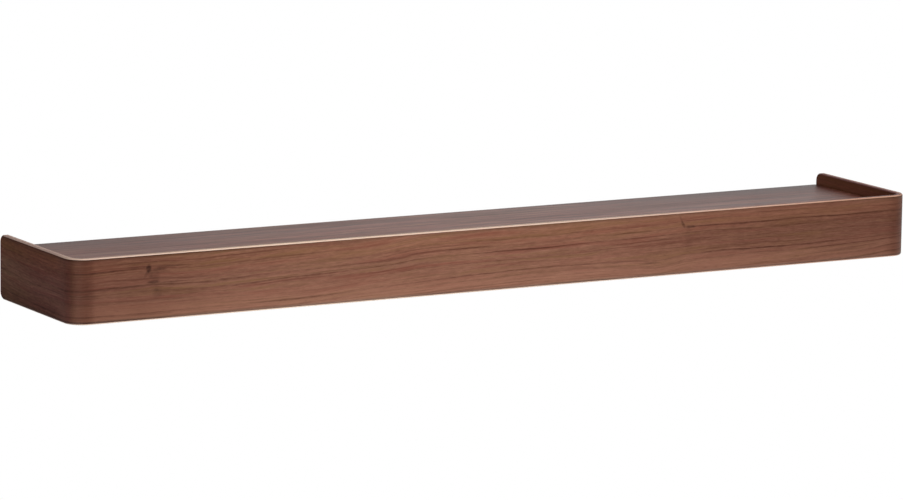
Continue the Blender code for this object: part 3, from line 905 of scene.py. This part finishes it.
def to_piece(name, shape, crease=None):
    """Turn a bmesh into an object with outward faces, smooth up to a crease angle."""
    bmesh.ops.recalc_face_normals(shape, faces=shape.faces)
    mesh = bpy.data.meshes.new(name)
    shape.to_mesh(mesh)
    shape.free()
    mesh.shade_smooth()
    if crease is not None:
        mesh.set_sharp_from_angle(angle=math.radians(crease))
    return add_object(name, mesh)


def prism(outline, start, stop, view, easing):
    """Return a bmesh of an outline run from start to stop, with its real corners eased."""
    shape = bmesh.new()
    face = shape.faces.new([shape.verts.new(view @ Vector((a, b, start))) for a, b in outline])
    grown = bmesh.ops.extrude_face_region(shape, geom=[face])["geom"]
    moved = [item for item in grown if isinstance(item, bmesh.types.BMVert)]
    bmesh.ops.translate(shape, verts=moved, vec=view.to_3x3() @ Vector((0, 0, stop - start)))
    bmesh.ops.recalc_face_normals(shape, faces=shape.faces)
    corners = [edge for edge in shape.edges if edge.calc_face_angle(0.0) > math.radians(REAL_CORNER)]
    bmesh.ops.bevel(
        shape, geom=corners, offset=easing, segments=2, profile=0.5, affect="EDGES", clamp_overlap=True
    )
    return shape


def timber(context, name, outline, run, finish, view=SIDE_VIEW):
    """Return an eased length of timber in its finish, its outline run between two places."""
    piece = to_piece(name, prism(outline, *run, view, context.scene.shelf_sizes.easing), TIMBER_CREASE)
    piece.data.materials.append(finish_of(finish, context))
    return piece


def ring_at(shape, radii, height, stance=Matrix()):
    """Add a ring of points round Z to a bmesh, with a radius for each point."""
    ring = []
    for step, radius in enumerate(radii):
        turned = 2 * math.pi * step / len(radii)
        spot = Vector((radius * math.cos(turned), radius * math.sin(turned), height))
        ring.append(shape.verts.new(stance @ spot))
    return ring


def skin_over(shape, rings):
    """Close a solid over rings of points listed from foot to head."""
    count = len(rings[0])
    for lower, upper in zip(rings, rings[1:]):
        for step in range(count):
            after = (step + 1) % count
            shape.faces.new((lower[step], lower[after], upper[after], upper[step]))
    shape.faces.new(list(reversed(rings[0])))
    shape.faces.new(rings[-1])


def cut_away(piece, shape):
    """Cut a bmesh's solid out of a piece."""
    cutter = to_piece("cutter", shape)
    step = piece.modifiers.new("cut", "BOOLEAN")
    step.operation = "DIFFERENCE"
    step.solver = "EXACT"
    step.object = cutter
    settle(piece)
    bpy.data.objects.remove(cutter)


def drill(piece, places, bore, mouth, direction):
    """Cut a countersunk hole in a piece at each place, for screws driven in one direction."""
    profile = ((bore, -HOLE_DEPTH), (bore, -(mouth - bore)), (mouth, 0.0), (mouth, CUTTER_RISE))
    shape = bmesh.new()
    for place in places:
        stance = Matrix.Translation(place) @ Matrix.Rotation(direction[0], 4, "X")
        rings = [ring_at(shape, [radius] * HOLE_SIDES, height, stance) for radius, height in profile]
        skin_over(shape, rings)
    cut_away(piece, shape)


def screw_nodes(prefix):
    """Return the names of the CAD nodes of one kind of screw."""
    return sorted(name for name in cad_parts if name.startswith(prefix))


def screw_places(prefix):
    """Return where one kind of screw's heads sit: under the battens, or on the hanging rail's back."""
    places = []
    for name in screw_nodes(prefix):
        low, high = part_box(name)
        place = (low + high) / 2
        if prefix == "batten_screw":
            place.z = low.z
        else:
            place.y = high.y
        places.append(place)
    return places


def wood_screw(sizes, long):
    """Return one countersunk wood screw with a thread and a cross recess, its head's face at 0.

    The ring shares are of the thread's outer radius: at the tip, between two ridges and at the neck.
    """
    head, core, pitch = sizes.screw_head, sizes.screw_shank, sizes.screw_pitch
    sides, steps_a_turn = 16, 8
    tip_share, root_share, neck_share = 0.22, 0.70, 0.72
    tip, ridge_half, plain_share = 0.004, 0.28, 0.35
    shank = -plain_share * long
    steps = round((long + shank) / pitch * steps_a_turn)
    shape = bmesh.new()
    rings = []
    for count in range(steps + 1):
        height = -long + (long + shank) * count / steps
        taper = min(1.0, tip_share + (1.0 - tip_share) * (height + long) / tip)
        fade = min(1.0, (shank - height) / (2 * pitch))
        radii = []
        for step in range(sides):
            turns = (height / pitch - step / sides) % 1.0
            ridge = max(0.0, 1.0 - abs(turns - 0.5) / ridge_half)
            radii.append(core * taper * (root_share + (1.0 - root_share) * ridge * fade))
        rings.append(ring_at(shape, radii, height))
    cone = head - core
    neck = neck_share * core
    for radius, height in (
        (neck, shank + 0.001), (neck, -cone - 0.0008), (core, -cone), (head - 0.0002, -0.00032),
        (head, -0.0002), (head - 0.00005, -0.00006), (head - 0.0002, 0.0),
    ):
        rings.append(ring_at(shape, [radius] * sides, height))
    skin_over(shape, rings)
    piece = to_piece("screw", shape, SCREW_CREASE)

    arm = deep = head * 0.62
    half_slot = head * 0.15
    foot_share, mouth_share, rise = 0.45, 1.1, 0.0003
    cross = []
    for corner in range(4):
        spin = Matrix.Rotation(QUARTER * corner, 2)
        points = ((half_slot, half_slot), (half_slot, arm), (-half_slot, arm))
        cross += [spin @ Vector(point) for point in points]
    recess = bmesh.new()
    foot = [recess.verts.new((foot_share * x, foot_share * y, -deep)) for x, y in cross]
    mouth = [recess.verts.new((mouth_share * x, mouth_share * y, rise)) for x, y in cross]
    skin_over(recess, [foot, mouth])
    cut_away(piece, recess)
    return piece


class SHELF_OT_band(bpy.types.Operator):
    """Mould the band that is the front and both returns"""

    bl_idname = "shelf.band"
    bl_label = "Moulded band"

    def execute(self, context):
        """Cut the flat blank, then press it round the formers."""
        sizes = context.scene.shelf_sizes
        height = BAND_HIGH.z - BAND_LOW.z
        depth = BAND_HIGH.y - BAND_LOW.y
        half = BAND_HIGH.x - sizes.bend
        arc = sizes.bend * QUARTER
        tip = half + arc + depth - sizes.bend
        turns = [half + arc * step / BEND_STEPS for step in range(BEND_STEPS + 1)]
        side = [half - BEND_LEAD, *turns, half + arc + BEND_LEAD]
        stations = [-s for s in reversed(side)] + list(FRONT_STATIONS) + side

        def rungs(inset):
            """Return the blank's columns: its rounded left end, its stations and its right end."""
            radius = sizes.end - inset
            ends = [(sizes.end - radius * c, sizes.end - radius * s) for c, s in quarter(CORNER_STEPS)]
            left = [(-tip + out, low, height - low) for out, low in ends]
            return left + [(s, inset, height - inset) for s in stations] + mirrored(left)

        profile = edge_profile(sizes.ply, sizes.veneer, sizes.arris_height, sizes.arris_depth)
        blank = plate(rungs, profile, sizes.ply, sizes.veneer, INSIDE_OFFSET)
        piece = to_piece("moulded_band", blank)
        values = {
            "Half front": half, "Bend radius": sizes.bend, "Depth": depth, "Foot": BAND_LOW.z,
            "Leaf": finish_of("walnut_leaf", context), "Plies": finish_of("band_plies", context),
        }
        run_tree(piece, bending_tree(), values)
        hand_over(piece, SHELF_BODY, "walnut_veneer", "rim_band")
        return {"FINISHED"}


class SHELF_OT_deck(bpy.types.Operator):
    """Fit the veneered deck board inside the band"""

    bl_idname = "shelf.deck"
    bl_label = "Deck board"

    def execute(self, context):
        """Cut the board with its two rounded front corners and set it at its height."""
        sizes = context.scene.shelf_sizes
        thickness = DECK_HIGH.z - DECK_LOW.z
        radius = sizes.bend - (BAND_HIGH.x - DECK_HIGH.x)
        bend_x = DECK_HIGH.x - radius
        bend_y = DECK_LOW.y + radius

        def rungs(inset):
            """Return the board's columns from left to right."""
            turn, rear = radius - inset, DECK_HIGH.y - inset
            left = [(-bend_x - turn * c, bend_y - turn * s, rear) for c, s in quarter(CORNER_STEPS)]
            return left + [(0.0, DECK_LOW.y + inset, rear)] + mirrored(left)

        profile = edge_profile(thickness, sizes.veneer, sizes.easing, sizes.easing, power=2.0, steps=3)
        shape = plate(rungs, profile, thickness, sizes.veneer, DECK_UNDER_OFFSET - DECK_OFFSET)
        leaf = shape.loops.layers.uv[GRAIN]
        cut = shape.faces.layers.bool[CUT_EDGE]
        for face in shape.faces:
            face.material_index = 1 if face[cut] else 0
            for corner in face.loops if not face[cut] else ():
                corner[leaf].uv.y += DECK_OFFSET - DECK_LOW.y
        for vert in shape.verts:
            a, deep, b = vert.co
            vert.co = (a, b, DECK_HIGH.z - deep)
        piece = to_piece("deck_board", shape)
        for finish in ("walnut_leaf", "deck_plies"):
            piece.data.materials.append(finish_of(finish, context))
        hand_over(piece, SHELF_BODY, "walnut_veneer", "deck_panel")
        return {"FINISHED"}


class SHELF_OT_battens(bpy.types.Operator):
    """Plane the battens and the glue blocks that hold the band to the deck"""

    bl_idname = "shelf.battens"
    bl_label = "Battens and blocks"

    def execute(self, context):
        """Make the front and side battens with their screw holes, and the two corner blocks."""
        sizes = context.scene.shelf_sizes
        bore, mouth = sizes.screw_shank + sizes.glue_gap, sizes.screw_head + sizes.glue_gap
        places = screw_places("batten_screw")
        for name, node, finish in (
            ("front_strip", "front_batten", "beech_along_X"),
            ("side_strip_left", "side_batten_left", "beech_along_Y"),
            ("side_strip_right", "side_batten_right", "beech_along_Y"),
        ):
            low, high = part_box(node)
            outline = [(low.y, low.z), (high.y, low.z), (high.y, high.z), (low.y, high.z)]
            piece = timber(context, name, outline, (low.x, high.x), finish)
            mine = [spot for spot in places if low.x < spot.x < high.x and low.y < spot.y < high.y]
            drill(piece, mine, bore, mouth, DRIVEN_UP)
            hand_over(piece, SHELF_BODY, "beech", node)
        for name, node, side in (
            ("glue_block_left", "corner_block_left", -1),
            ("glue_block_right", "corner_block_right", 1),
        ):
            low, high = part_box(node)
            outer, inner = (high.x, low.x) if side > 0 else (low.x, high.x)
            radius = sizes.bend - (BAND_HIGH.x - outer if side > 0 else outer - BAND_LOW.x)
            outline = [
                (outer - side * (radius - radius * c), low.y + radius - radius * s)
                for c, s in quarter(BLOCK_STEPS)
            ]
            if abs(outline[-1][0] - inner) > SAME_PLACE:
                outline.append((inner, low.y))
            outline += [(inner, high.y), (outer, high.y)]
            piece = timber(context, name, outline, (low.z, high.z), "beech_along_Z", PLAN_VIEW)
            hand_over(piece, SHELF_BODY, "beech", node)
        return {"FINISHED"}


class SHELF_OT_rails(bpy.types.Operator):
    """Saw the two bevelled halves of the hanging rail"""

    bl_idname = "shelf.rails"
    bl_label = "Hanging rails"

    def execute(self, context):
        """Make the shelf's half with its screw holes and the wall's half with its wall holes."""
        sizes = context.scene.shelf_sizes
        bore, mouth = sizes.screw_shank + sizes.glue_gap, sizes.screw_head + sizes.glue_gap
        low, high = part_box("hanging_rail")
        drop = high.y - low.y
        outline = [(high.y, low.z), (high.y, high.z), (low.y, high.z), (low.y, low.z + drop)]
        piece = timber(context, "hook_rail", outline, (low.x, high.x), "beech_along_X")
        drill(piece, screw_places("rail_screw"), bore, mouth, DRIVEN_FORWARD)
        hand_over(piece, SHELF_BODY, "beech", "hanging_rail")

        low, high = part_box("wall_rail")
        outline = [(high.y, low.z), (high.y, high.z - drop), (low.y, high.z), (low.y, low.z)]
        piece = timber(context, "wall_hook_rail", outline, (low.x, high.x), "beech_along_X")
        places = [Vector((share * high.x, low.y, 0.0)) for share in WALL_HOLE_SHARES]
        drill(piece, places, sizes.wall_hole, sizes.wall_hole_mouth, DRIVEN_BACK)
        hand_over(piece, WALL_BODY, "beech", "wall_rail")
        return {"FINISHED"}


class SHELF_OT_ribs(bpy.types.Operator):
    """Set out the plywood ribs"""

    bl_idname = "shelf.ribs"
    bl_label = "Ribs"

    def execute(self, context):
        """Make one notched rib and set out its copies."""
        sizes = context.scene.shelf_sizes
        low, high = RIB_LOW, RIB_HIGH
        batten_low, batten_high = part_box("front_batten")
        rail_low, rail_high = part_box("hanging_rail")
        foot = batten_low.z - sizes.glue_gap
        notch = batten_high.y + sizes.glue_gap
        back = high.y - sizes.slide_gap
        step = rail_low.z + rail_high.y - rail_low.y
        outline = [
            (high.y, high.z), (notch, high.z), (notch, foot), (low.y, foot), (low.y, foot - sizes.rib_toe),
            (back, low.z), (back, step), (high.y, step),
        ]
        shape = prism(outline, low.x, high.x, SIDE_VIEW, sizes.easing)
        cut = shape.faces.layers.bool.new(CUT_EDGE)
        for face in shape.faces:
            face[cut] = abs(face.normal.x) < 0.9
        names = ("rib_left", "rib_centre", "rib_right")
        places = [Vector(((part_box(name)[0].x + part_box(name)[1].x) / 2, 0, 0)) for name in names]
        values = {"Face": finish_of("birch_face", context), "Edge": finish_of("rib_plies", context)}
        piece = set_out("rib_set", to_piece("rib", shape, TIMBER_CREASE), places, values)
        hand_over(piece, SHELF_BODY, "birch_plywood", *names)
        return {"FINISHED"}


class SHELF_OT_screws(bpy.types.Operator):
    """Drive the wood screws"""

    bl_idname = "shelf.screws"
    bl_label = "Wood screws"

    def execute(self, context):
        """Make a short and a long screw and set out their copies where the CAD has them."""
        sizes = context.scene.shelf_sizes
        zinc = finish_of("zinc_plate", context)
        shared = {"Turn": 2 * math.pi, "Seed": sizes.turn_seed, "Face": zinc, "Edge": zinc}
        for name, prefix, direction in (
            ("short_screws", "batten_screw", DRIVEN_UP), ("long_screws", "rail_screw", DRIVEN_FORWARD),
        ):
            nodes = screw_nodes(prefix)
            low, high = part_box(nodes[0])
            part = wood_screw(sizes, max(high - low))
            piece = set_out(name, part, screw_places(prefix), {"Direction": direction, **shared})
            hand_over(piece, SHELF_BODY, "zinc_steel", *nodes)
        return {"FINISHED"}


class SHELF_OT_dowels(bpy.types.Operator):
    """Give the CAD's dowels their beech"""

    bl_idname = "shelf.dowels"
    bl_label = "Dowels"

    def execute(self, context):
        """Put the upright beech finish on every dowel."""
        beech = finish_of("beech_along_Z", context)
        for name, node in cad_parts.items():
            if "_dowel_" in name:
                for slot in node.material_slots:
                    slot.material = beech
        return {"FINISHED"}


def studio_world(ambient):
    """Light from all round, white to the camera, with a pale backdrop that only gloss sees."""
    world = bpy.data.worlds.new("studio")
    world.use_nodes = True
    bench = Bench(world)
    bench.tree.nodes.clear()
    camera, through, glossy = [
        bench.out("ShaderNodeLightPath", socket="Is %s Ray" % kind)
        for kind in ("Camera", "Transmission", "Glossy")
    ]
    towards = bench.out("ShaderNodeTexCoord", socket="Generated")
    x, y, z = bench.parts(towards)

    def card(way, low, high, strength):
        """Return a soft pale card, seen in one direction."""
        facing = bench.out("ShaderNodeVectorMath", {0: towards, 1: way}, "Value", operation="DOT_PRODUCT")
        return facing.fit(low, high, 0.0, strength, smooth=True)

    def light(strength):
        """Return white light of a strength."""
        return bench.out("ShaderNodeBackground", {"Color": WHITE, "Strength": strength})

    backdrop = x.fit(0.14, 0.60, 0.0, 1.7) * y.fit(-0.1, 0.5) * x.fit(0.62, 0.85, 1.0, 0.55)
    overhead = z.fit(0.35, 0.85, 0.04, 0.8)
    cards = card((-0.67, -0.72, -0.17), 0.88, 0.98, 2.5) + card((0.97, -0.20, -0.15), 0.85, 0.97, 0.8)
    shine = light(backdrop + overhead + cards)
    level = bench.out("ShaderNodeMixShader", {0: glossy, 1: light(ambient), 2: shine})
    feeds = {0: camera.at_least(through), 1: level, 2: light(1.0)}
    bench.add("ShaderNodeOutputWorld", {0: bench.out("ShaderNodeMixShader", feeds)})
    return world


def floor_finish():
    """Pale floor, white to the camera, clear from underneath."""
    bench = Bench(new_material("pale_floor"))
    mottle = bench.noise(bench.place(), scale=3.0).fit(0.3, 0.7, 0.84, 0.86)
    shader = bench.shader({
        "Base Color": bench.out("ShaderNodeCombineColor", {0: mottle, 1: mottle, 2: mottle}),
        "Roughness": 0.9, "Specular IOR Level": 0.0, "Emission Color": WHITE,
        "Emission Strength": bench.out("ShaderNodeLightPath", socket="Is Camera Ray") * 0.58,
    })
    under = bench.out("ShaderNodeNewGeometry", socket="Backfacing")
    clear = bench.out("ShaderNodeBsdfTransparent")
    feeds = {0: under, 1: Reading(bench, shader.outputs[0]), 2: clear}
    bench.feed(bench.tree.nodes["Material Output"].inputs[0], bench.out("ShaderNodeMixShader", feeds))
    return bench.owner


class SHELF_OT_studio(bpy.types.Operator):
    """Set up the camera, the light and the floor"""

    bl_idname = "shelf.studio"
    bl_label = "Studio"

    def execute(self, context):
        """Place the camera by its angles, hang the lamps and lay the floor."""
        scene = context.scene
        studio = scene.shelf_studio
        scene.view_settings.view_transform = "Standard"

        data = bpy.data.cameras.new("camera")
        data.lens = studio.lens
        data.sensor_width = FRAME_WIDTH_MM
        data.clip_start, data.clip_end = CAMERA_NEAR, CAMERA_FAR
        az, el = studio.azimuth, studio.elevation
        ahead = Vector((math.sin(az) * math.cos(el), math.cos(az) * math.cos(el), -math.sin(el)))
        right = Vector((math.cos(az), -math.sin(az), 0.0))
        up = right.cross(ahead)
        c, s = math.cos(studio.roll), math.sin(studio.roll)
        turned = Matrix((right * c + up * s, up * c - right * s, -ahead)).transposed().to_4x4()
        camera = bpy.data.objects.new("camera", data)
        camera.matrix_world = Matrix.Translation(Vector(studio.aim) - ahead * studio.distance) @ turned
        scene.collection.objects.link(camera)
        scene.camera = camera

        for name, setting, size, place, target in LAMPS:
            light = bpy.data.lights.new(name, "AREA")
            light.shape = "RECTANGLE"
            light.size, light.size_y = size
            light.energy = getattr(studio, setting)
            holder = bpy.data.objects.new(name, light)
            holder.location = place
            holder.rotation_euler = (Vector(target) - Vector(place)).to_track_quat("-Z", "Y").to_euler()
            holder.visible_camera = False
            holder.visible_glossy = False
            scene.collection.objects.link(holder)
        scene.world = studio_world(studio.ambient)

        half = studio.floor_size / 2
        corners = ((-half, -half), (half, -half), (half, half), (-half, half))
        mesh = bpy.data.meshes.new("floor")
        mesh.from_pydata([(x, y, -studio.floor_drop) for x, y in corners], [], [(0, 1, 2, 3)])
        mesh.materials.append(floor_finish())
        add_object("floor", mesh)
        return {"FINISHED"}


class SHELF_PT_panel(bpy.types.Panel):
    """The shelf's steps and settings in the sidebar"""

    bl_idname = "SHELF_PT_panel"
    bl_label = "Wall shelf"
    bl_space_type = "VIEW_3D"
    bl_region_type = "UI"
    bl_category = "Shelf"

    def draw(self, context):
        """List each step, then the settings."""
        for step in OPERATORS:
            self.layout.operator(step.bl_idname)
        for group in (context.scene.shelf_sizes, context.scene.shelf_colours, context.scene.shelf_studio):
            box = self.layout.box()
            for name in group.__annotations__:
                box.prop(group, name)


OPERATORS = (
    SHELF_OT_studio,
    SHELF_OT_band,
    SHELF_OT_deck,
    SHELF_OT_battens,
    SHELF_OT_rails,
    SHELF_OT_ribs,
    SHELF_OT_screws,
    SHELF_OT_dowels,
)
CLASSES = (ShelfSizes, WoodColours, StudioSettings, *OPERATORS, SHELF_PT_panel)


def register():
    """Add the classes and the scene's settings."""
    for item in CLASSES:
        bpy.utils.register_class(item)
    bpy.types.Scene.shelf_sizes = PointerProperty(type=ShelfSizes)
    bpy.types.Scene.shelf_colours = PointerProperty(type=WoodColours)
    bpy.types.Scene.shelf_studio = PointerProperty(type=StudioSettings)


def unregister():
    """Remove the scene's settings and the classes."""
    del bpy.types.Scene.shelf_studio
    del bpy.types.Scene.shelf_colours
    del bpy.types.Scene.shelf_sizes
    for item in reversed(CLASSES):
        bpy.utils.unregister_class(item)


def main():
    """Build every piece in order."""
    register()
    for step in OPERATORS:
        group, name = step.bl_idname.split(".")
        getattr(getattr(bpy.ops, group), name)()


if __name__ == "__main__":
    main()
